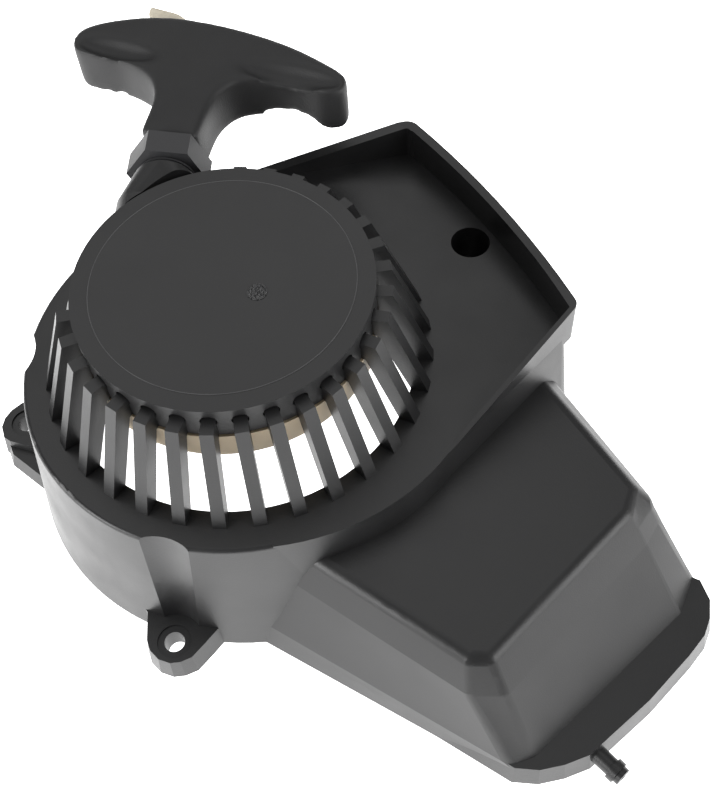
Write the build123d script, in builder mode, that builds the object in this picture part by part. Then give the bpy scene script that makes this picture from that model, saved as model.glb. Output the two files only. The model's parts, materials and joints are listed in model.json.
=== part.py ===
from build123d import *
import os
from math import cos, radians, sin

os.makedirs("parts", exist_ok=True)

# Recoil starter for a small two-stroke engine. Millimetres.
# Origin: crank axis at the mounting face. +Z away from the engine, +Y along the rope pull.

# --- housing: drum, deck and dome ---
wall = 2.5                    # moulded wall
base_r = 64.3                 # drum radius at the mounting face
deck_r = 58.25                # drum radius at the deck
deck_z = 44.0                 # deck height
deck_opening_r = 47.3         # round opening in the deck, under the ribs
deck_edge_r = 1.2             # rounded deck edge
dome_r = 38.0
dome_top_z = 75.6
dome_wall_height = 10.1
dome_edge_r = 1.5
crown_r = 33.3                # a shallow step ring marks the flat of the dome
crown_step = 0.3

# --- housing: ribs between deck and dome ---
rib_pitch = 11.25
rib_first = 191.7             # angle of the first rib beside the closed sector
rib_count = 24
rib_width = 3.4
rib_foot_r = 52.0
rib_foot_depth = 4.4
rib_top_r = 42.0
rib_top_z = 71.7
rib_root = 0.6                # how far ribs reach into the wall that they grow from
recess_r = 2.1                # arched recess in the dome's wall above each rib
recess_depth = 0.7
sector_wall = 2.0             # wall that closes the sector without ribs

# --- housing: tray on the duct side ---
rim_z = 54.5                  # highest level of the tray's rim
rim_width = 3.0
rim_thinning = 1.6            # the rim is thinner along the pod side
rim_slope_x = 0.1753          # the rim's top falls away towards the dome along X and Y
rim_slope_y = 0.1314
rim_slope_drop = 6.6
plate_z = 40.5                # underside of the tray's outer lip
duct_draft = 6.0
lip_inset = 3.4               # the duct wall stands back from the tray's lip

# --- housing: pod over the carburettor side ---
pod_top_z = 34.0
pod_edge_r = 4.0
pod_shoulder_z = 29.5
pod_break_z = 25.0            # level where the upper bevel meets the steep wall
flange_z = 7.5                # height of the foot flange and of the ears
flange_draft = 11.0

# --- mounting holes ---
bolt_hole_r = 2.75
ear_pitch_r = 68.9
ear_angles = (180.0, 257.0)
ear_draft = 8.0
ear_spot_r = 4.6
ear_spot_depth = 0.5
scallop_r = 7.6               # driver clearance cut in the drum above each ear
scallop_top_r = 12.8
well_x = 61.9
well_y = 39.4
well_r = 5.5                  # socket well through the tray floor
well_seat_z = 6.0

# --- moulding stub left on the flange ---
stub_x = 92.5
stub_y = -90.5
stub_z = 3.2
stub_r = 2.4
stub_length = 10.5
stub_collar_r = 3.0
stub_hole_r = 0.9

# --- rope ---
rope_r = 1.5
lane_pitch = 3.1              # height between the two lanes of rope on the reel
layer_pitch = 3.1
inner_layer_r = 14.1
rope_z = 69.0
tail_length = 14.0
tail_reach = 18.6

# --- rope outlet ---
outlet_width = 25.4
outlet_height = 15.0
outlet_corner_r = 6.5
outlet_drop = 2.6             # the outlet's block sits a little below the rope line
outlet_start_y = 20.0
outlet_straight_y = 31.0      # the outlet keeps its full section up to here
outlet_end_y = 38.4
neck_r = 8.8
nut_y = 40.6
nut_length = 7.4
nut_corner_r = 11.2
nut_turn = 52.0
nut_bore_r = 3.2
shank_r = 6.4
shank_back_y = 37.4

# --- reel ---
skirt_r = 38.5
skirt_wall = 2.0
skirt_bottom_z = 57.0
skirt_top_z = 65.2
reel_room = 0.6               # free space around the turning reel
flange_thick = 1.3
lane_room = 0.15
top_flange_r = 33.6
post_r = 6.0
post_clear = 0.05
post_end_z = 50.4
spring_thick = 0.5
spring_turns = 7.0
spring_gap = 0.4

# --- spring cover, pawls and friction plate ---
cover_thick = 1.5
cover_z = 56.7
cover_screw_ring_r = 33.0
cover_screw_angle = 70.0
pawl_pivot_r = 19.0
pawl_thick = 3.0
pawl_gap = 0.3
pawl_pin_r = 2.0
pawl_pin_clear = 0.05
peg_r = 1.2
peg_clear = 0.5
plate_r = 27.4
plate_thick = 1.4
plate_travel = 24.0           # how far the friction plate turns against the reel
pawl_swing = 26.0             # how far each pawl swings out over that travel
centre_hole_r = 2.0
washer_r = 8.6
washer_thick = 1.0
centre_head_r = 4.2
centre_head_height = 2.6

# --- handle ---
handle_tilt = -9.5            # the grip rests a little askew on the guide
grip_peak = 46.0              # height of the grip on the rope line
handle_depth = 15.4
handle_gap = 1.6              # the tilted stem touches the guide at one corner only
handle_bore_r = 1.9
groove_r = 4.4                # hollows along the arms
groove_depth = 1.7
knot_pocket_r = 4.6
knot_pocket_depth = 6.5

# derived sizes
duct_top_z = deck_z - wall
dome_low_z = dome_top_z - dome_wall_height
dome_inner_z = dome_top_z - wall
rope_x = -(inner_layer_r + 2 * layer_pitch)
groove_high = rope_z + rope_r + lane_room
groove_low = rope_z - lane_pitch - rope_r - lane_room
web_z = groove_low - flange_thick
spring_z = cover_z + cover_thick + spring_gap
room_r = skirt_r + reel_room
cone_slope = (scallop_top_r - scallop_r) / (deck_z - flange_z)
drum_slope = (base_r - deck_r) / deck_z


def at_angle(radius, angle):
    return (radius * cos(radians(angle)), radius * sin(radians(angle)))


def turned(point, centre, angle):
    dx = point[0] - centre[0]
    dy = point[1] - centre[1]
    c = cos(radians(angle))
    s = sin(radians(angle))
    return (centre[0] + dx * c - dy * s, centre[1] + dx * s + dy * c)


def prism(points, low, high, draft=0.0):
    """Straight-sided outline between two levels, widening downwards by the draft angle."""
    with BuildPart() as solid:
        with BuildSketch(Plane.XY.offset(high)):
            with BuildLine():
                Polyline(*points, close=True)
            make_face()
        extrude(amount=low - high, taper=-draft)
    return solid.part


# =====================================================================================
# housing
# =====================================================================================

# Tray outline at the rim; the sides without a name close it inside the drum.
tray_back_start = (-32.0, 46.5)
tray_back_end = (-6.0, 64.6)
tray_corner = (44.6, 77.2)
tray_bulge = (71.3, 42.2)
tray_point = (89.6, 9.8)
tray_foot = (56.0, -29.8)
tray_foot_bend = (41.0, -45.4)
tray_foot_end = (14.0, -56.5)
tray_corner_r = 4.0
tray_point_r = 2.5

# Pod outline at five levels, as corners in the same order.
pod_top = ((8.0, -45.2), (61.1, -79.8), (66.5, -79.6), (101.8, -40.1),
           (103.6, -32.4), (75.0, 9.0), (30.0, -5.0))
pod_shoulder = ((6.5, -47.5), (61.2, -82.7), (68.5, -82.6), (104.4, -42.5),
                (109.2, -34.7), (79.0, 11.9), (30.0, -5.0))
pod_break = ((5.0, -49.8), (61.4, -85.6), (70.5, -85.6), (107.0, -44.8),
             (111.4, -36.6), (80.2, 12.6), (30.0, -5.0))
pod_low = ((3.6, -59.0), (72.0, -97.0), (78.2, -94.6), (117.3, -56.0),
           (121.9, -45.0), (85.0, 13.0), (30.0, -5.0))
pod_foot = ((3.2, -61.4), (71.8, -97.4), (79.6, -96.6), (120.4, -58.0),
            (124.6, -45.0), (86.2, 13.4), (30.0, -5.0))
flange_outline = ((-0.4, -62.0), (11.9, -62.0), (17.6, -64.5), (44.4, -80.8), (73.2, -97.5),
                  (79.3, -97.8), (85.5, -96.3), (91.7, -93.7), (107.5, -79.4), (118.7, -67.2),
                  (123.0, -61.8), (124.9, -57.0), (125.5, -51.9), (123.5, -46.3), (108.0, -40.0),
                  (80.0, -20.0), (60.0, -10.0), (20.0, -40.0))

left_ear = ((-60.0, 14.0), (-71.9, 6.8), (-74.4, 4.3), (-75.9, 1.5), (-76.2, -1.7),
            (-74.8, -5.2), (-72.7, -6.5), (-65.4, -8.4), (-60.0, -9.5), (-52.0, 0.0))
left_gusset = ((-74.6, -4.0), (-71.8, -9.6), (-61.6, -17.0), (-52.0, -14.0), (-55.0, 2.0))
front_ear = ((-28.0, -54.0), (-23.8, -59.1), (-23.4, -62.8), (-22.9, -67.0), (-21.7, -69.8),
             (-19.1, -72.2), (-15.9, -73.2), (-13.2, -72.8), (-10.3, -71.4), (-7.2, -67.4),
             (-4.5, -63.7), (-2.0, -60.0), (-12.0, -48.0))


def tray_face(back_inset=0.0):
    """Outline of the tray; the inset moves only its back and right-hand sides."""
    start = (tray_back_start[0] + 0.2 * back_inset, tray_back_start[1] - 0.7 * back_inset)
    back = (tray_back_end[0], tray_back_end[1] - back_inset)
    corner = (tray_corner[0] - 0.75 * back_inset, tray_corner[1] - 1.25 * back_inset)
    bulge = (tray_bulge[0] - 0.84 * back_inset, tray_bulge[1] - 0.55 * back_inset)
    point = (tray_point[0] - 0.75 * back_inset, tray_point[1] - 0.88 * back_inset)
    with BuildSketch() as face:
        with BuildLine():
            Line(start, back)
            Line(back, corner)
            ThreePointArc(corner, bulge, point)
            Line(point, tray_foot)
            ThreePointArc(tray_foot, tray_foot_bend, tray_foot_end)
            Line(tray_foot_end, start)
        make_face()
        ends = face.vertices()
        fillet(ends.sort_by_distance((corner[0], corner[1], 0))[0], tray_corner_r)
        fillet(face.vertices().sort_by_distance((point[0], point[1], 0))[0], tray_point_r)
    return face.sketch


def drum_solid(inset, low, high):
    """Tapered drum between two levels."""
    low_r = base_r - inset - drum_slope * low
    high_r = base_r - inset - drum_slope * high
    with BuildPart() as solid:
        with BuildSketch(Plane.XZ):
            with BuildLine():
                Polyline((0, low), (low_r, low), (high_r, high), (0, high), close=True)
            make_face()
        revolve(axis=Axis.Z)
    return solid.part


def duct_solid(inset, low, high):
    """Duct under the tray, set back from the tray's lip and widening towards the engine."""
    with BuildPart() as solid:
        with BuildSketch(Plane.XY.offset(high)):
            add(tray_face(lip_inset))
            if inset > 0:
                offset(amount=-inset, kind=Kind.INTERSECTION)
        extrude(amount=low - high, taper=-duct_draft)
    return solid.part


def pod_solid(inset, drop):
    """Pod as a ruled body through its outlines."""
    levels = ((pod_foot, -drop), (pod_low, flange_z - drop * 0.3), (pod_break, pod_break_z - drop * 0.7),
              (pod_shoulder, pod_shoulder_z - drop * 0.9), (pod_top, pod_top_z - drop))
    with BuildPart() as solid:
        for outline, level in levels:
            with BuildSketch(Plane.XY.offset(level)):
                with BuildLine():
                    Polyline(*outline, close=True)
                make_face()
                if inset > 0:
                    offset(amount=-inset, kind=Kind.INTERSECTION)
        loft(ruled=True)
        if inset == 0:
            soft = [e for e in solid.edges() if e.center().Z > flange_z and e.center().X > 34
                    and (e.center().Y < -20 or e.center().X > 84)]
            fillet(soft, pod_edge_r)
    return solid.part


def scallop(extra):
    """Cone over each ear that gives a screwdriver room beside the drum."""
    low = flange_z if extra == 0 else -1.0
    high = deck_z + 4
    with BuildPart() as solid:
        for angle in ear_angles:
            x, y = at_angle(ear_pitch_r, angle)
            with Locations((x, y, low)):
                Cone(scallop_r + extra + cone_slope * (low - flange_z),
                     scallop_r + extra + cone_slope * (high - flange_z), high - low,
                     align=(Align.CENTER, Align.CENTER, Align.MIN))
    return solid.part


def rim_solid():
    """Rim around the tray, its top cut on a slope so that it runs out towards the dome."""
    with BuildPart() as solid:
        with BuildSketch(Plane.XY.offset(deck_z)):
            add(tray_face())
        extrude(amount=rim_z - deck_z)
        with BuildSketch(Plane.XY.offset(deck_z)):
            add(offset(tray_face(), amount=-rim_width, mode=Mode.PRIVATE))
        extrude(amount=rim_z, mode=Mode.SUBTRACT)
        with BuildSketch(Plane.XY.offset(deck_z)):
            add(offset(tray_face(), amount=-rim_width, mode=Mode.PRIVATE)
                .moved(Location((0.77 * rim_thinning, -0.64 * rim_thinning, 0))))
        extrude(amount=rim_z, mode=Mode.SUBTRACT)
        slope = Plane(origin=(0, 0, deck_z - rim_slope_drop), z_dir=(-rim_slope_x, -rim_slope_y, 1))
        split(bisect_by=slope, keep=Keep.BOTTOM)
    return solid.part


def rib():
    """One rib on +X, leaning from the deck up to the dome."""
    inner_foot = rib_foot_r - rib_foot_depth
    with BuildPart() as solid:
        with BuildSketch(Plane.XZ):
            with BuildLine():
                Polyline((rib_foot_r, deck_z), (rib_top_r, rib_top_z), (dome_r - rib_root, rib_top_z),
                         (dome_r - rib_root, dome_low_z + rib_root), (room_r, dome_low_z),
                         (inner_foot, deck_z), (inner_foot, deck_z - rib_root),
                         (rib_foot_r, deck_z - rib_root), close=True)
            make_face()
        extrude(amount=rib_width / 2, both=True)
    return solid.part


def rib_recess():
    """Arched recess in the dome's wall above one rib on +X."""
    with BuildPart() as solid:
        with Locations(Plane(origin=(dome_r - recess_depth, 0, rib_top_z - 0.6), z_dir=(1, 0, 0))):
            Cylinder(recess_r, 4, align=(Align.CENTER, Align.CENTER, Align.MIN))
    return solid.part


def dome_solid():
    """Hollow dome; a shallow step marks the flat of its top."""
    with BuildPart() as solid:
        with BuildSketch(Plane.XZ):
            with BuildLine():
                Polyline((0, dome_inner_z), (dome_r - wall, dome_inner_z), (dome_r - wall, dome_low_z),
                         (dome_r, dome_low_z), (dome_r, dome_top_z - crown_step),
                         (crown_r, dome_top_z - crown_step / 3), (crown_r, dome_top_z),
                         (0, dome_top_z), close=True)
            make_face()
            corners = [v for v in vertices() if abs(v.X - dome_r) < 0.01 and v.Z > dome_low_z + 1]
            fillet(corners, dome_edge_r)
        revolve(axis=Axis.Z)
        with PolarLocations(0, rib_count, start_angle=rib_first, angular_range=rib_count * rib_pitch):
            add(rib_recess(), mode=Mode.SUBTRACT)
    return solid.part


def closed_sector():
    """Deck and wall that close the side without ribs."""
    outer = room_r + sector_wall
    root = deck_opening_r + rib_root
    with BuildPart() as solid:
        with BuildSketch(Plane.XZ):
            with BuildLine():
                Polyline((room_r, duct_top_z), (root, duct_top_z), (root, deck_z), (outer, deck_z),
                         (outer, dome_low_z + 1.0), (dome_r - rib_root, rib_top_z),
                         (dome_r - rib_root, dome_low_z + rib_root), (room_r, dome_low_z), close=True)
            make_face()
        revolve(axis=Axis.Z, revolution_arc=sector_sweep)
    return solid.part.rotate(Axis.Z, sector_start)


def outlet_block():
    """Block that carries the rope out of the dome, narrowing to a round collar."""
    centre_z = rope_z - outlet_drop
    with BuildPart() as solid:
        with BuildSketch(Plane(origin=(rope_x, outlet_start_y, centre_z), x_dir=(1, 0, 0),
                               z_dir=(0, 1, 0))):
            RectangleRounded(outlet_width, outlet_height, outlet_corner_r)
        extrude(amount=outlet_straight_y - outlet_start_y)
        with BuildSketch(Plane(origin=(rope_x, outlet_straight_y, centre_z), x_dir=(1, 0, 0),
                               z_dir=(0, 1, 0))):
            RectangleRounded(outlet_width, outlet_height, outlet_corner_r)
        with BuildSketch(Plane(origin=(rope_x, outlet_end_y, rope_z), x_dir=(1, 0, 0),
                               z_dir=(0, 1, 0))):
            RectangleRounded(2 * neck_r, 2 * neck_r, neck_r - 0.1)
        loft(ruled=True)
        Cylinder(room_r + rib_root, 4 * dome_low_z, mode=Mode.SUBTRACT)
    return solid.part


sector_start = rib_first + (rib_count - 0.5) * rib_pitch
sector_sweep = 360 - rib_pitch * rib_count + 0.5 * rib_pitch

with BuildPart() as cavity:
    add(drum_solid(wall, -1, duct_top_z))
    add(scallop(wall), mode=Mode.SUBTRACT)
    add(duct_solid(wall, -1, duct_top_z))
    add(pod_solid(wall, wall))
    with Locations((0, 0, duct_top_z - 1)):
        Cylinder(deck_opening_r, wall + 3, align=(Align.CENTER, Align.CENTER, Align.MIN))
    with Locations((well_x, well_y, 0)):
        Cylinder(well_r + wall, 4 * deck_z, mode=Mode.SUBTRACT)

with BuildPart() as housing:
    add(drum_solid(0, 0, deck_z))
    rim_edge = housing.edges().filter_by(GeomType.CIRCLE).group_by(Axis.Z)[-1]
    fillet(rim_edge, deck_edge_r)
    add(scallop(0), mode=Mode.SUBTRACT)
    add(duct_solid(0, 0, deck_z))
    with BuildSketch(Plane.XY.offset(plate_z)):
        add(tray_face())
    extrude(amount=deck_z - plate_z)
    add(rim_solid())
    add(pod_solid(0, 0))
    add(prism(flange_outline, 0, flange_z, flange_draft))
    add(prism(left_ear, 0, flange_z, ear_draft))
    add(prism(left_gusset, 0, flange_z - 2.5, 2 * ear_draft))
    add(prism(front_ear, 0, flange_z, ear_draft))
    add(cavity.part, mode=Mode.SUBTRACT)
    stub_plane = Plane(origin=(stub_x, stub_y, stub_z), z_dir=(0.72, -0.69, 0))
    with Locations(stub_plane):
        Cylinder(stub_r, stub_length, align=(Align.CENTER, Align.CENTER, Align.MIN))
    with Locations(stub_plane.offset(stub_length - 3.4)):
        Cylinder(stub_collar_r, 2.0, align=(Align.CENTER, Align.CENTER, Align.MIN))
    with Locations(stub_plane.offset(stub_length - 3)):
        Cylinder(stub_hole_r, 5, align=(Align.CENTER, Align.CENTER, Align.MIN), mode=Mode.SUBTRACT)
    add(closed_sector())
    add(dome_solid())
    with PolarLocations(0, rib_count, start_angle=rib_first, angular_range=rib_count * rib_pitch):
        add(rib())
    add(outlet_block())
    with Locations((0, 0, post_end_z)):
        Cylinder(post_r, dome_inner_z + rib_root - post_end_z,
                 align=(Align.CENTER, Align.CENTER, Align.MIN))
        Cylinder(centre_hole_r, 14, align=(Align.CENTER, Align.CENTER, Align.MIN), mode=Mode.SUBTRACT)
    with Locations(Plane(origin=(rope_x, outlet_end_y + 1, rope_z), z_dir=(0, -1, 0))):
        Cylinder(shank_r, outlet_end_y + 1 - shank_back_y,
                 align=(Align.CENTER, Align.CENTER, Align.MIN), mode=Mode.SUBTRACT)
        Cylinder(nut_bore_r, outlet_end_y + 1 - outlet_start_y,
                 align=(Align.CENTER, Align.CENTER, Align.MIN), mode=Mode.SUBTRACT)
    for angle in ear_angles:
        x, y = at_angle(ear_pitch_r, angle)
        with Locations((x, y, -1)):
            Cylinder(bolt_hole_r, flange_z + 2, align=(Align.CENTER, Align.CENTER, Align.MIN),
                     mode=Mode.SUBTRACT)
        with Locations((x, y, flange_z - ear_spot_depth)):
            Cylinder(ear_spot_r, 2, align=(Align.CENTER, Align.CENTER, Align.MIN), mode=Mode.SUBTRACT)
    with Locations((well_x, well_y, well_seat_z)):
        Cylinder(well_r, rim_z, align=(Align.CENTER, Align.CENTER, Align.MIN), mode=Mode.SUBTRACT)
    with Locations((well_x, well_y, -1)):
        Cylinder(bolt_hole_r, well_seat_z + 2, align=(Align.CENTER, Align.CENTER, Align.MIN),
                 mode=Mode.SUBTRACT)
housing.part.label = "housing"
export_step(housing.part, "parts/housing.step")

# =====================================================================================
# rope guide: a hexagon nut with a shank in the outlet
# =====================================================================================

with BuildPart() as rope_guide_nut:
    with BuildSketch(Plane(origin=(rope_x, nut_y, rope_z), x_dir=(1, 0, 0), z_dir=(0, -1, 0))):
        RegularPolygon(nut_corner_r, 6, rotation=nut_turn)
    extrude(amount=-nut_length)
    with Locations(Plane(origin=(rope_x, nut_y, rope_z), z_dir=(0, -1, 0))):
        Cylinder(neck_r - 1.4, nut_y - outlet_end_y - 0.1, align=(Align.CENTER, Align.CENTER, Align.MIN))
    for turn in range(2):
        with Locations(Plane(origin=(rope_x, nut_y - 0.35 - turn * 1.0, rope_z), z_dir=(0, -1, 0))):
            Cylinder(neck_r - 0.7, 0.5, align=(Align.CENTER, Align.CENTER, Align.MIN))
    with Locations(Plane(origin=(rope_x, nut_y, rope_z), z_dir=(0, -1, 0))):
        Cylinder(shank_r - 0.1, nut_y - shank_back_y - 0.1,
                 align=(Align.CENTER, Align.CENTER, Align.MIN))
        Cylinder(nut_bore_r, 60, mode=Mode.SUBTRACT)
    mouth = rope_guide_nut.edges().filter_by(GeomType.CIRCLE).sort_by(Axis.Y)[-1]
    fillet(mouth, 1.2)
rope_guide_nut.part.label = "rope_guide_nut"
export_step(rope_guide_nut.part, "parts/rope_guide_nut.step")

# =====================================================================================
# handle
# =====================================================================================

handle_y = nut_y + nut_length + handle_gap
handle_plane = Plane(origin=(rope_x, handle_y, rope_z),
                     x_dir=(cos(radians(handle_tilt)), sin(radians(handle_tilt)), 0),
                     z_dir=(0, 0, 1))
grip_outline = ((7.7, 9.0), (8.6, 17.0), (13.0, 23.4), (22.0, 25.8), (31.0, 25.0), (38.2, 23.0),
                (42.2, 24.4), (43.0, 28.2), (39.6, 31.8), (25.4, 38.9), (9.1, 43.6), (-7.0, 45.8),
                (-20.0, 45.0), (-31.0, 41.4), (-36.6, 37.6), (-38.4, 33.0), (-36.0, 28.9),
                (-30.0, 27.5), (-21.5, 26.2), (-12.8, 22.0), (-8.8, 16.0), (-7.7, 9.0))
groove_right = ((14.0, 27.6), (22.0, 29.4), (31.0, 28.8), (38.0, 26.4))
groove_left = ((-12.0, 26.0), (-19.0, 29.4), (-26.0, 30.8), (-32.5, 31.4))


def grip_grooves():
    """Finger hollows along both arms, on both faces."""
    with BuildPart() as solid:
        for side in (-1, 1):
            level = rope_z + side * (handle_depth / 2 + groove_r - groove_depth)
            for points in (groove_right, groove_left):
                places = [handle_plane.from_local_coords(Vector(u, v, 0)) for u, v in points]
                places = [(place.X, place.Y, level) for place in places]
                with BuildLine() as path:
                    Spline(*places)
                with BuildSketch(Plane(origin=path.line @ 0, z_dir=path.line % 0)):
                    Circle(groove_r)
                sweep()
                for end in (places[0], places[-1]):
                    with Locations(end):
                        Sphere(groove_r)
    return solid.part


with BuildPart() as handle:
    with BuildSketch(handle_plane):
        with BuildLine():
            Spline(*grip_outline, tangents=((0, 1, 0), (0, -1, 0)))
            Polyline(grip_outline[-1], (-7.7, 0.0), (7.7, 0.0), grip_outline[0])
        make_face()
    extrude(amount=handle_depth / 2, both=True)
    add(grip_grooves(), mode=Mode.SUBTRACT)
    with Locations(Plane(origin=(rope_x, handle_y - 1, rope_z), z_dir=(0, 1, 0))):
        Cylinder(handle_bore_r, 80, align=(Align.CENTER, Align.CENTER, Align.MIN), mode=Mode.SUBTRACT)
    with Locations(Plane(origin=(rope_x, handle_y + grip_peak - knot_pocket_depth, rope_z), z_dir=(0, 1, 0))):
        Cylinder(knot_pocket_r, 30, align=(Align.CENTER, Align.CENTER, Align.MIN), mode=Mode.SUBTRACT)
handle.part.label = "handle"
export_step(handle.part, "parts/handle.step")

# =====================================================================================
# rope: one cord, named by the places that it passes through
# =====================================================================================

knot_y = handle_y + grip_peak - knot_pocket_depth + 0.2
knot_r = 3.6
upper_lane_z = rope_z
lower_lane_z = rope_z - lane_pitch

with BuildPart() as rope_run:
    with Locations(Plane(origin=(rope_x, 0, rope_z), z_dir=(0, 1, 0))):
        Cylinder(rope_r, knot_y + knot_r * 0.4 - 0.05, align=(Align.CENTER, Align.CENTER, Align.MIN))
rope_run.part.label = "rope_run"

with BuildPart() as rope_tail:
    with BuildLine() as tail_line:
        Spline((rope_x, knot_y + knot_r * 0.4, rope_z), (rope_x, knot_y + knot_r * 2.1, rope_z),
               (rope_x - 4.0, knot_y + 13.0, rope_z + 0.6), (rope_x - tail_length, knot_y + tail_reach, rope_z),
               tangents=((0, 1, 0), (-1, 0.4, 0)))
    with BuildSketch(Plane(origin=tail_line.line @ 0, z_dir=tail_line.line % 0)):
        Circle(rope_r + 0.1)
    sweep()
rope_tail.part.label = "rope_tail"

with BuildPart() as handle_knot:
    with Locations((rope_x, knot_y + knot_r * 0.8, rope_z)):
        Sphere(knot_r)
    with Locations(Plane(origin=(rope_x, knot_y, rope_z), z_dir=(0, -1, 0))):
        Cylinder(20, 10, align=(Align.CENTER, Align.CENTER, Align.MIN), mode=Mode.SUBTRACT)
    with Locations(Plane(origin=(rope_x, knot_y, rope_z), z_dir=(0, 1, 0))):
        Cylinder(rope_r + 0.4, 60, mode=Mode.SUBTRACT)
handle_knot.part.label = "handle_knot"

with BuildPart() as rope_wound:
    for layer in range(3):
        layer_r = inner_layer_r + layer * layer_pitch
        for lane_z in (upper_lane_z, lower_lane_z):
            with BuildSketch(Plane.XZ):
                with Locations((layer_r, lane_z)):
                    Circle(rope_r)
            if layer == 2 and lane_z == upper_lane_z:
                revolve(axis=Axis.Z, revolution_arc=-176)
            else:
                revolve(axis=Axis.Z)
rope_wound.part.label = "rope_wound"


with BuildPart() as reel_knot:
    with Locations((0, -inner_layer_r + 1.2, web_z + 1.3)):
        Sphere(1.8)
    with BuildSketch(Plane.XY.offset(web_z)):
        Rectangle(60, 60)
    extrude(amount=-8, mode=Mode.SUBTRACT)
    with BuildSketch(Plane.XY.offset(web_z + flange_thick)):
        Rectangle(60, 60)
    extrude(amount=8, mode=Mode.SUBTRACT)
reel_knot.part.label = "reel_knot"

for piece in (rope_run, handle_knot, rope_tail, rope_wound, reel_knot):
    export_step(piece.part, "parts/" + piece.part.label + ".step")

# =====================================================================================
# reel: grooved upper part in the dome, wide skirt below it that houses the spring
# =====================================================================================

core_r = inner_layer_r - rope_r - 0.15
top_flange_z = groove_high + flange_thick
skirt_inner_r = skirt_r - skirt_wall

with BuildPart() as reel:
    with BuildSketch(Plane.XZ):
        with BuildLine():
            Polyline((post_r + post_clear, web_z), (skirt_inner_r, web_z),
                     (skirt_inner_r, skirt_bottom_z), (skirt_r, skirt_bottom_z),
                     (skirt_r, skirt_top_z), (skirt_inner_r, skirt_top_z),
                     (skirt_inner_r - 1.0, groove_low), (core_r, groove_low), (core_r, groove_high),
                     (top_flange_r, groove_high), (top_flange_r, top_flange_z),
                     (post_r + post_clear, top_flange_z), close=True)
        make_face()
    revolve(axis=Axis.Z)
    with Locations((0, 0, groove_high - 1)):
        with PolarLocations(26.5, 6):
            Cylinder(4.0, 8, mode=Mode.SUBTRACT)
    with Locations((0, -inner_layer_r + 1.2, web_z - 1)):
        Cylinder(2.2, flange_thick + 2, align=(Align.CENTER, Align.CENTER, Align.MIN),
                 mode=Mode.SUBTRACT)
    with PolarLocations(cover_screw_ring_r, 3, start_angle=cover_screw_angle):
        with Locations((0, 0, cover_z + cover_thick)):
            Cylinder(3.0, web_z - cover_z - cover_thick + rib_root,
                     align=(Align.CENTER, Align.CENTER, Align.MIN))
            Cylinder(1.3, web_z - cover_z - cover_thick,
                     align=(Align.CENTER, Align.CENTER, Align.MIN), mode=Mode.SUBTRACT)
reel.part.label = "reel"

# recoil spring: flat ribbon, inner end on the housing's post, outer end on the reel
spring_in = post_r + 0.4
spring_out = cover_screw_ring_r - 3.6
spring_step = (spring_out - spring_in) / spring_turns


def spiral(first_r, step, turns, shift):
    points = []
    count = int(turns * 16) + 1
    for index in range(count):
        turn = index / 16
        radius = first_r + step * turn + shift
        points.append(at_angle(radius, 360 * turn))
    return points


with BuildPart() as recoil_spring:
    inner_line = spiral(spring_in, spring_step, spring_turns, 0)
    outer_line = spiral(spring_in, spring_step, spring_turns, spring_thick)
    with BuildSketch(Plane.XY.offset(spring_z)):
        with BuildLine():
            Spline(*inner_line)
            Line(inner_line[-1], outer_line[-1])
            Spline(*outer_line[::-1])
            Line(outer_line[0], inner_line[0])
        make_face()
    extrude(amount=web_z - spring_gap - spring_z)
recoil_spring.part.label = "recoil_spring"

# =====================================================================================
# spring cover with its screws
# =====================================================================================

cover_low = cover_z
pawl_top = cover_low - pawl_gap
pawl_low = pawl_top - pawl_thick
plate_top = pawl_low - pawl_gap
plate_low = plate_top - plate_thick
pawl_angles = (0.0, 180.0)

with BuildPart() as spring_cover:
    with BuildSketch(Plane.XY.offset(cover_low)):
        Circle(skirt_inner_r - 0.2)
        Circle(post_r + 0.3, mode=Mode.SUBTRACT)
        with PolarLocations(cover_screw_ring_r, 3, start_angle=cover_screw_angle):
            Circle(1.5, mode=Mode.SUBTRACT)
        with PolarLocations(pawl_pivot_r, 2):
            Circle(1.4, mode=Mode.SUBTRACT)
        with PolarLocations(27.5, 3, start_angle=10):
            Circle(3.2, mode=Mode.SUBTRACT)
    extrude(amount=cover_thick)
spring_cover.part.label = "spring_cover"

with BuildPart() as spring_cover_screws:
    with PolarLocations(cover_screw_ring_r, 3, start_angle=cover_screw_angle):
        with Locations((0, 0, cover_low - 0.1)):
            Cylinder(2.6, 1.5, align=(Align.CENTER, Align.CENTER, Align.MAX))
            Cylinder(1.2, cover_thick + 3.4, align=(Align.CENTER, Align.CENTER, Align.MIN))
        with Locations((0, 0, cover_low - 1.6)):
            Box(3.6, 0.7, 1.4, mode=Mode.SUBTRACT)
            Box(0.7, 3.6, 1.4, mode=Mode.SUBTRACT)
spring_cover_screws.part.label = "spring_cover_screws"

# =====================================================================================
# pawls: each swings on a pin and has a peg in a slot of the friction plate
# =====================================================================================


def pawl(angle):
    """Pawl at rest; its tip stays inside the reel until the friction plate drives the peg."""
    with BuildPart() as solid:
        with BuildSketch(Plane.XY.offset(pawl_low)):
            with BuildLine():
                Polyline((pawl_pivot_r + 3.6, -1.0), (pawl_pivot_r + 4.6, 9.0), (pawl_pivot_r + 2.4, 17.5),
                         (pawl_pivot_r - 0.8, 18.5), (pawl_pivot_r - 1.6, 10.0),
                         (pawl_pivot_r - 3.8, 2.0), (pawl_pivot_r - 3.0, -3.0), (pawl_pivot_r, -4.2),
                         (pawl_pivot_r + 2.8, -3.2), close=True)
            make_face()
            fillet(vertices(), 0.8)
            with Locations((pawl_pivot_r, 0)):
                Circle(pawl_pin_r + pawl_pin_clear, mode=Mode.SUBTRACT)
        extrude(amount=pawl_thick)
        with Locations((pawl_pivot_r + 1.0, 7.5, pawl_low + rib_root)):
            Cylinder(peg_r, pawl_gap + plate_thick + rib_root,
                     align=(Align.CENTER, Align.CENTER, Align.MAX))
    return solid.part.rotate(Axis.Z, angle)


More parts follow.
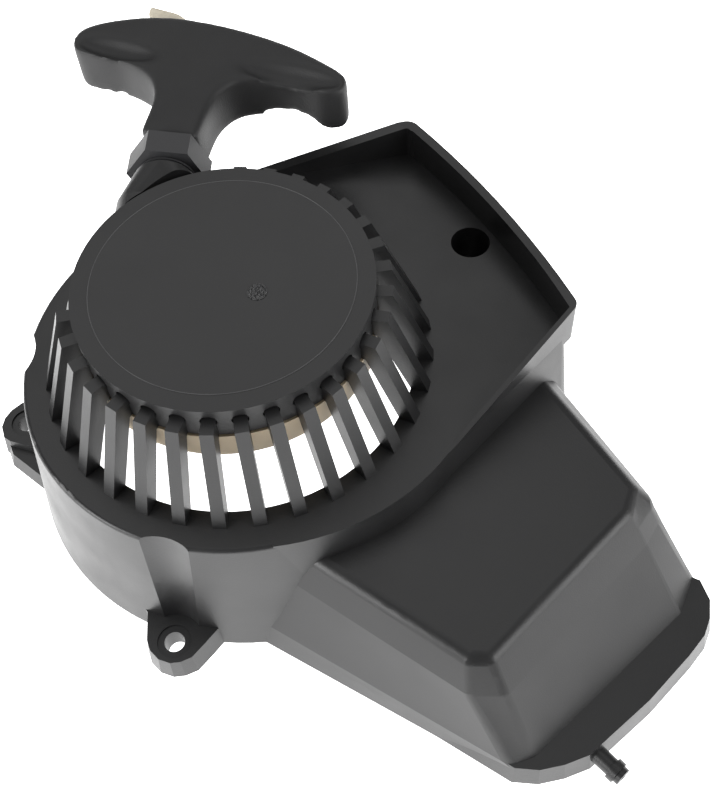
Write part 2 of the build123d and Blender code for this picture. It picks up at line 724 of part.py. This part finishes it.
def pawl_pin():
    with BuildPart() as solid:
        with Locations((pawl_pivot_r, 0, cover_low)):
            Cylinder(1.4, cover_thick, align=(Align.CENTER, Align.CENTER, Align.MIN))
            Cylinder(pawl_pin_r, pawl_gap + pawl_thick, align=(Align.CENTER, Align.CENTER, Align.MAX))
        with Locations((pawl_pivot_r, 0, cover_low + cover_thick)):
            Cylinder(1.4, 0.3, align=(Align.CENTER, Align.CENTER, Align.MIN))
    return solid.part


def pawl_spring(angle):
    """Hairpin wire beside the pawl; pushes it back in."""
    with BuildPart() as solid:
        with BuildSketch(Plane.XY.offset(pawl_low + 0.6)):
            with Locations((pawl_pivot_r + 1.0, -8.4)):
                Circle(2.6)
                Circle(1.9, mode=Mode.SUBTRACT)
            with Locations((pawl_pivot_r - 6.6, -6.0)):
                Rectangle(12.2, 0.7, rotation=-16)
            with Locations((pawl_pivot_r + 5.6, -4.2)):
                Rectangle(9.2, 0.7, rotation=70)
        extrude(amount=1.4)
    return solid.part.rotate(Axis.Z, angle)


with BuildPart() as pawl_a:
    add(pawl(pawl_angles[0]))
with BuildPart() as pawl_b:
    add(pawl(pawl_angles[1]))
with BuildPart() as pawl_pins:
    with PolarLocations(0, 2):
        add(pawl_pin())
with BuildPart() as pawl_spring_a:
    add(pawl_spring(pawl_angles[0]))
with BuildPart() as pawl_spring_b:
    add(pawl_spring(pawl_angles[1]))

# =====================================================================================
# friction plate, its spring, washer and the centre screw
# =====================================================================================

peg_rest = (pawl_pivot_r + 1.0, 7.5)
pivot = (pawl_pivot_r, 0.0)
slot_points = []
for step in range(9):
    share = step / 8
    peg_out = turned(peg_rest, pivot, -pawl_swing * share)
    slot_points.append(turned(peg_out, (0, 0), -plate_travel * share))

with BuildPart() as friction_plate:
    with BuildSketch(Plane.XY.offset(plate_low)):
        Circle(plate_r)
        for angle in pawl_angles:
            for point in slot_points:
                with Locations(turned(point, (0, 0), angle)):
                    Circle(peg_r + peg_clear, mode=Mode.SUBTRACT)
        with PolarLocations(13.0, 2, start_angle=90):
            Circle(2.6, mode=Mode.SUBTRACT)
        Circle(post_r + 0.06, mode=Mode.SUBTRACT)
    extrude(amount=plate_thick)
friction_plate.part.label = "friction_plate"

with BuildPart() as friction_spring:
    with BuildSketch(Plane.XZ):
        with BuildLine():
            Polyline((post_r + 0.4, post_end_z), (post_r + 2.4, post_end_z), (10.5, plate_low - 0.3),
                     (10.5, plate_low - 0.05), (9.8, plate_low - 0.05), (post_r + 2.0, post_end_z + 0.4),
                     (post_r + 0.4, post_end_z + 0.4), close=True)
        make_face()
    revolve(axis=Axis.Z)
friction_spring.part.label = "friction_spring"

with BuildPart() as centre_washer:
    with Locations((0, 0, post_end_z)):
        Cylinder(washer_r, washer_thick, align=(Align.CENTER, Align.CENTER, Align.MAX))
        Cylinder(2.6, 3 * washer_thick, mode=Mode.SUBTRACT)
centre_washer.part.label = "centre_washer"

with BuildPart() as centre_screw:
    with Locations((0, 0, post_end_z - washer_thick)):
        Cylinder(centre_head_r, centre_head_height, align=(Align.CENTER, Align.CENTER, Align.MAX))
        Cylinder(centre_hole_r - 0.02, 11.0, align=(Align.CENTER, Align.CENTER, Align.MIN))
    with BuildSketch(Plane.XY.offset(post_end_z - washer_thick - centre_head_height)):
        RegularPolygon(2.3, 6)
    extrude(amount=1.6, mode=Mode.SUBTRACT)
centre_screw.part.label = "centre_screw"

pawl_a.part.label = "pawl_a"
pawl_b.part.label = "pawl_b"
pawl_pins.part.label = "pawl_pins"
pawl_spring_a.part.label = "pawl_spring_a"
pawl_spring_b.part.label = "pawl_spring_b"
for piece in (reel, recoil_spring, spring_cover, spring_cover_screws, pawl_a, pawl_b, pawl_pins,
              pawl_spring_a, pawl_spring_b, friction_plate, friction_spring, centre_washer,
              centre_screw):
    export_step(piece.part, "parts/" + piece.part.label + ".step")
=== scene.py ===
import json
import math
import random

import bpy
from mathutils import Matrix, Vector

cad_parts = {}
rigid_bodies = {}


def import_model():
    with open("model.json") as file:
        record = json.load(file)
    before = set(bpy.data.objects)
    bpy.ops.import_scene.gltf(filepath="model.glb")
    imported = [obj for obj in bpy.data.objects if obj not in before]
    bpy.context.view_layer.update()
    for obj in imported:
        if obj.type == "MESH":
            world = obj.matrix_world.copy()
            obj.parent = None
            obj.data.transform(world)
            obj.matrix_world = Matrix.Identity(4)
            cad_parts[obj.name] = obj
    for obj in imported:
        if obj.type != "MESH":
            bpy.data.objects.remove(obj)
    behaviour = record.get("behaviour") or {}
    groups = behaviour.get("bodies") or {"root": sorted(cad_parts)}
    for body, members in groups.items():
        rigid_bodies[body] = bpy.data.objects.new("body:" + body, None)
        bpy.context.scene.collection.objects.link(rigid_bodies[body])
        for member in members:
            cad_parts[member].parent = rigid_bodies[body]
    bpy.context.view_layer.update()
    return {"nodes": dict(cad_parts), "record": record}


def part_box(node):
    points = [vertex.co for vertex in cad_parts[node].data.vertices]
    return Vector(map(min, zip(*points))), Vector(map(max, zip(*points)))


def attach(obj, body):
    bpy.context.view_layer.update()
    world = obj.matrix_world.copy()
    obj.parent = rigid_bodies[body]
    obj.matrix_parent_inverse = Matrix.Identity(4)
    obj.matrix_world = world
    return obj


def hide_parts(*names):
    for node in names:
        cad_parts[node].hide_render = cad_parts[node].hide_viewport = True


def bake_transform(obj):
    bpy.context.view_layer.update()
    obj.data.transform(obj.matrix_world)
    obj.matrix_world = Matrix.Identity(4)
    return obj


for item in list(bpy.data.objects):
    bpy.data.objects.remove(item)
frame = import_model()
bpy.ops.object.select_all(action="DESELECT")
scene = bpy.context.scene
print("frame loaded")


def nodeOf(tree, kind, place, **values):
    node = tree.nodes.new(kind)
    node.location = place
    for key, value in values.items():
        if hasattr(node, key):
            setattr(node, key, value)
        else:
            node.inputs[key.replace("_", " ")].default_value = value
    return node


def newMaterial(name, look):
    material = bpy.data.materials.new(name)
    material.use_nodes = True
    tree = material.node_tree
    tree.nodes.clear()
    output = nodeOf(tree, "ShaderNodeOutputMaterial", (900, 0))
    shader = nodeOf(tree, "ShaderNodeBsdfPrincipled", (600, 0))
    tree.links.new(shader.outputs["BSDF"], output.inputs["Surface"])
    coords = nodeOf(tree, "ShaderNodeTexCoord", (-900, 0))
    cloud = nodeOf(tree, "ShaderNodeTexNoise", (-600, 200))
    cloud.inputs["Scale"].default_value = look["cloudScale"]
    cloud.inputs["Detail"].default_value = 4.0
    tree.links.new(coords.outputs["Object"], cloud.inputs["Vector"])
    tones = nodeOf(tree, "ShaderNodeMix", (-100, 300))
    tones.data_type = "RGBA"
    tones.inputs["A"].default_value = (*look["dark"], 1.0)
    tones.inputs["B"].default_value = (*look["light"], 1.0)
    tree.links.new(cloud.outputs["Fac"], tones.inputs["Factor"])
    tree.links.new(tones.outputs["Result"], shader.inputs["Base Color"])
    grain = nodeOf(tree, "ShaderNodeTexNoise", (-600, -300))
    grain.inputs["Scale"].default_value = look["grainScale"]
    grain.inputs["Detail"].default_value = 3.0
    tree.links.new(coords.outputs["Object"], grain.inputs["Vector"])
    spread = nodeOf(tree, "ShaderNodeMapRange", (-100, 0))
    spread.inputs["To Min"].default_value = look["rough"] - look["roughSpread"]
    spread.inputs["To Max"].default_value = look["rough"] + look["roughSpread"]
    tree.links.new(cloud.outputs["Fac"], spread.inputs["Value"])
    tree.links.new(spread.outputs["Result"], shader.inputs["Roughness"])
    bump = nodeOf(tree, "ShaderNodeBump", (200, -300))
    bump.inputs["Strength"].default_value = look["bump"]
    bump.inputs["Distance"].default_value = look["bumpDepth"]
    tree.links.new(grain.outputs["Fac"], bump.inputs["Height"])
    tree.links.new(bump.outputs["Normal"], shader.inputs["Normal"])
    shader.inputs["Metallic"].default_value = look.get("metallic", 0.0)
    shader.inputs["Specular IOR Level"].default_value = look.get("specular", 0.5)
    shader.inputs["Subsurface Weight"].default_value = look.get("subsurface", 0.0)
    shader.inputs["Subsurface Radius"].default_value = (0.004, 0.003, 0.002)
    return material


plastic = {
    "dark": (0.005, 0.005, 0.0054),
    "light": (0.018, 0.018, 0.0185),
    "cloudScale": 60.0,
    "rough": 0.38,
    "roughSpread": 0.14,
    "grainScale": 2600.0,
    "bump": 0.25,
    "bumpDepth": 0.00012,
}
looks = {
    "housing_plastic": plastic,
    "grip_plastic": {**plastic, "dark": (0.009, 0.009, 0.0095), "light": (0.014, 0.014, 0.0145),
                     "rough": 0.58, "bump": 0.6},
    "nut_plastic": {**plastic, "dark": (0.025, 0.025, 0.027), "light": (0.040, 0.040, 0.042),
                    "rough": 0.55},
    "pawl_plastic": {**plastic, "rough": 0.45},
    "reel_plastic": {**plastic, "dark": (0.50, 0.39, 0.25), "light": (0.68, 0.57, 0.41),
                     "cloudScale": 90.0, "rough": 0.42, "subsurface": 0.15},
    # lighter grey: the moulding gate mark's own colour, and also a painted highlight on the crown
    # line
    "worn_and_highlight": {**plastic, "dark": (0.05, 0.05, 0.051), "light": (0.10, 0.10, 0.102)},
    "rope": {**plastic, "dark": (0.60, 0.53, 0.40), "light": (0.80, 0.75, 0.63),
             "cloudScale": 600.0, "rough": 0.85, "bump": 0.8, "bumpDepth": 0.0003},
    "spring_steel": {**plastic, "dark": (0.16, 0.17, 0.19), "light": (0.26, 0.27, 0.30),
                     "rough": 0.32, "metallic": 1.0},
    "zinc_steel": {**plastic, "dark": (0.32, 0.33, 0.34), "light": (0.42, 0.43, 0.44),
                   "rough": 0.34, "metallic": 1.0},
}
materials = {name: newMaterial(name, look) for name, look in looks.items()}
slots = {row["node"]: row["material_slot"] for row in frame["record"]["subparts"]}
for node, item in frame["nodes"].items():
    item.data.materials.clear()
    item.data.materials.append(materials[slots[node]])
print("materials assigned")


# rope between the reel and the handle, drawn as a fixed straight run (the real rope grows longer as
# the handle is pulled)
rope = {"name": "ropeLine", "radius": 0.0015, "rings": 48, "sides": 24}
runLow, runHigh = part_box("rope_run")
ropeX = (runLow[0] + runHigh[0]) / 2
ropeZ = (runLow[2] + runHigh[2]) / 2
runLength = runHigh[1] - runLow[1]
bpy.ops.mesh.primitive_cylinder_add(
    vertices=rope["sides"], radius=rope["radius"], depth=runLength,
    location=(ropeX, (runLow[1] + runHigh[1]) / 2, ropeZ), rotation=(math.pi / 2, 0, 0))
line = bpy.context.object
line.name = rope["name"]
bpy.ops.object.transform_apply(location=True, rotation=True, scale=True)
bpy.ops.object.mode_set(mode="EDIT")
for ring in range(1, rope["rings"]):
    bpy.ops.mesh.select_all(action="SELECT")
    place = runLow[1] + runLength * ring / rope["rings"]
    bpy.ops.mesh.bisect(plane_co=(ropeX, place, ropeZ), plane_no=(0, 1, 0))
bpy.ops.object.mode_set(mode="OBJECT")
line.data.materials.append(materials["rope"])
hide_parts("rope_run")
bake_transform(line)
print("rope line made")

# handle: T grip, rounded all over, with finger hollows along both arms
handleFacts = {
    "name": "handleGrip",
    "gap": 0.0016,
    "tilt": math.radians(-9.5),
    "depth": 0.0154,
    "outline": ((8.0, 9.0), (9.0, 17.0), (13.0, 23.0), (22.0, 25.6), (31.0, 24.9), (38.2, 22.7),
                (42.6, 24.0), (43.5, 28.2), (39.8, 32.3), (25.4, 39.4), (9.1, 44.1), (-7.0, 46.3),
                (-20.0, 45.5), (-31.4, 41.8), (-37.4, 37.8), (-39.0, 33.0), (-36.6, 28.6),
                (-30.0, 27.2), (-21.5, 25.9), (-13.0, 21.6), (-9.1, 16.0), (-8.0, 9.0),
                (-8.0, 0.0), (8.0, 0.0)),
    "steps": 6,
    "hollows": (
        {"middle": (27.5, 27.6), "half": (15.5, 3.6), "turn": -5.0},
        {"middle": (-24.5, 30.2), "half": (13.0, 3.4), "turn": -6.0},
    ),
    "hollowSink": 0.0034,
}


def smoothLoop(points, steps):
    result = []
    count = len(points)
    for index in range(count):
        p0, p1, p2, p3 = (points[(index + shift - 1) % count] for shift in range(4))
        corner = index >= count - 3
        for step in range(steps):
            t = step / steps
            if corner:
                result.append((p1[0] + (p2[0] - p1[0]) * t, p1[1] + (p2[1] - p1[1]) * t))
                continue
            result.append(tuple(
                0.5 * (2 * b + (c - a) * t + (2 * a - 5 * b + 4 * c - d) * t * t
                       + (3 * b - a - 3 * c + d) * t ** 3)
                for a, b, c, d in zip(p0, p1, p2, p3)))
    return result


def applyModifier(item, kind, **values):
    modifier = item.modifiers.new(kind.lower(), kind)
    for key, value in values.items():
        setattr(modifier, key, value)
    bpy.ops.object.select_all(action="DESELECT")
    item.select_set(True)
    bpy.context.view_layer.objects.active = item
    bpy.ops.object.modifier_apply(modifier=modifier.name)


bpy.ops.object.select_all(action="DESELECT")
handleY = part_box("rope_guide_nut")[1][1] + handleFacts["gap"]
loop = smoothLoop(handleFacts["outline"], handleFacts["steps"])
bpy.ops.mesh.primitive_circle_add(vertices=len(loop), radius=0.02, fill_type="NGON",
                                  location=(0, 0, 0))
grip = bpy.context.object
grip.name = handleFacts["name"]
halfDepth = handleFacts["depth"] / 2
for vertex, (u, v) in zip(grip.data.vertices, loop):
    vertex.co = (u / 1000, v / 1000, -halfDepth)
bpy.ops.object.mode_set(mode="EDIT")
bpy.ops.mesh.select_all(action="SELECT")
bpy.ops.mesh.extrude_region_move(TRANSFORM_OT_translate={"value": (0, 0, 2 * halfDepth)})
bpy.ops.mesh.select_all(action="SELECT")
bpy.ops.mesh.normals_make_consistent(inside=False)
bpy.ops.object.mode_set(mode="OBJECT")
for hollow in handleFacts["hollows"]:
    for side in (-1, 1):
        bpy.ops.mesh.primitive_uv_sphere_add(
            segments=48, ring_count=24, radius=1.0,
            location=(hollow["middle"][0] / 1000, hollow["middle"][1] / 1000, side * halfDepth),
            rotation=(0, 0, math.radians(hollow["turn"])))
        cutter = bpy.context.object
        cutter.scale = (hollow["half"][0] / 1000, hollow["half"][1] / 1000, handleFacts["hollowSink"])
        bpy.ops.object.transform_apply(location=False, rotation=False, scale=True)
        applyModifier(grip, "BOOLEAN", object=cutter, operation="DIFFERENCE", solver="EXACT")
        bpy.data.objects.remove(cutter)
applyModifier(grip, "REMESH", mode="VOXEL", voxel_size=0.0006)
applyModifier(grip, "SMOOTH", factor=0.6, iterations=44)
grip.data.transform(Matrix.Translation((ropeX, handleY, ropeZ))
                    @ Matrix.Rotation(handleFacts["tilt"], 4, "Z"))
for face in grip.data.polygons:
    face.use_smooth = True
grip.data.materials.append(materials["grip_plastic"])
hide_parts("handle")
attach(grip, "handle_body")
print("handle made")

# gate mark left on the dome by moulding
mark = {"name": "gateMark", "place": (0.0090, -0.0034, 0.0756), "radius": 0.0024, "height": 0.00025}
bpy.ops.mesh.primitive_uv_sphere_add(segments=64, ring_count=32, radius=mark["radius"],
                                     location=mark["place"])
gate = bpy.context.object
gate.name = mark["name"]
gate.scale = (1.0, 1.0, mark["height"] / mark["radius"])
bpy.ops.object.transform_apply(location=True, rotation=True, scale=True)
random.seed(4)
for vertex in gate.data.vertices:
    vertex.co.z += random.uniform(-0.00012, 0.00030)
    vertex.co.x += random.uniform(-0.00022, 0.00022)
    vertex.co.y += random.uniform(-0.00022, 0.00022)
gate.data.materials.append(materials["worn_and_highlight"])
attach(gate, "housing_body")

# painted highlight: a thin lighter ring where the flat of the dome ends, standing in for light caught
# along that edge
edge = {"name": "crownHighlightLine", "radius": 0.0333, "thickness": 0.00013, "height": 0.07556}
bpy.ops.mesh.primitive_torus_add(major_radius=edge["radius"], minor_radius=edge["thickness"],
                                 major_segments=256, minor_segments=8,
                                 location=(0, 0, edge["height"]))
crown = bpy.context.object
crown.name = edge["name"]
bpy.ops.object.transform_apply(location=True, rotation=True, scale=True)
crown.data.materials.append(materials["worn_and_highlight"])
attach(crown, "housing_body")
print("dome marks made")

# floor, light and camera
bpy.ops.mesh.primitive_plane_add(size=20, location=(0, 0, -0.0002))
floor = bpy.context.object
floor.name = "floor"
white = bpy.data.materials.new("floorWhite")
white.use_nodes = True
shader = white.node_tree.nodes["Principled BSDF"]
shader.inputs["Base Color"].default_value = (0.86, 0.86, 0.86, 1.0)
shader.inputs["Roughness"].default_value = 0.9
shader.inputs["Emission Color"].default_value = (1.0, 1.0, 1.0, 1.0)
shader.inputs["Emission Strength"].default_value = 1.9
floor.data.materials.append(white)

lamps = [
    {"name": "skyPanel", "place": (-0.10, 0.35, 0.75), "size": 0.75, "power": 1.5},
    {"name": "leftPanel", "place": (-0.80, -0.50, 0.42), "size": 0.5, "power": 7.0},
    {"name": "rightPanel", "place": (0.85, -0.28, 0.45), "size": 0.6, "power": 5.0},
]
for lamp in lamps:
    bpy.ops.object.light_add(type="AREA", location=lamp["place"])
    light = bpy.context.object
    light.name = lamp["name"]
    light.data.size = lamp["size"]
    light.data.energy = lamp["power"]
    aim = Vector((0.02, 0, 0.03)) - light.location
    light.rotation_euler = aim.to_track_quat("-Z", "Y").to_euler()
world = bpy.data.worlds.new("studio")
scene.world = world
world.use_nodes = True
world.node_tree.nodes["Background"].inputs["Color"].default_value = (1.0, 1.0, 1.0, 1.0)
world.node_tree.nodes["Background"].inputs["Strength"].default_value = 0.34

shot = {"elevation": 57.04, "azimuth": 7.0, "roll": -5.196, "distance": 0.3166,
        "right": 0.03235, "up": -0.01181, "height": 0.044, "lens": 53.285}
elevation, azimuth, roll = (math.radians(shot[key]) for key in ("elevation", "azimuth", "roll"))
back = Vector((math.sin(azimuth) * math.cos(elevation), -math.cos(azimuth) * math.cos(elevation),
               math.sin(elevation)))
right = Vector((math.cos(azimuth), math.sin(azimuth), 0))
up = back.cross(right)
rolledRight = math.cos(roll) * right + math.sin(roll) * up
rolledUp = -math.sin(roll) * right + math.cos(roll) * up
eye = back * shot["distance"] + rolledRight * shot["right"] + rolledUp * shot["up"]
eye.z += shot["height"]
bpy.ops.object.camera_add()
camera = bpy.context.object
camera.name = "photoCamera"
camera.matrix_world = Matrix((
    (rolledRight.x, rolledUp.x, back.x, eye.x),
    (rolledRight.y, rolledUp.y, back.y, eye.y),
    (rolledRight.z, rolledUp.z, back.z, eye.z),
    (0, 0, 0, 1)))
camera.data.sensor_fit = "VERTICAL"
camera.data.sensor_height = 36.0
camera.data.lens = shot["lens"]
camera.data.clip_start = 0.01
scene.camera = camera
scene.render.resolution_x = 720
scene.render.resolution_y = 797
scene.view_settings.view_transform = "Standard"
print("stage set")
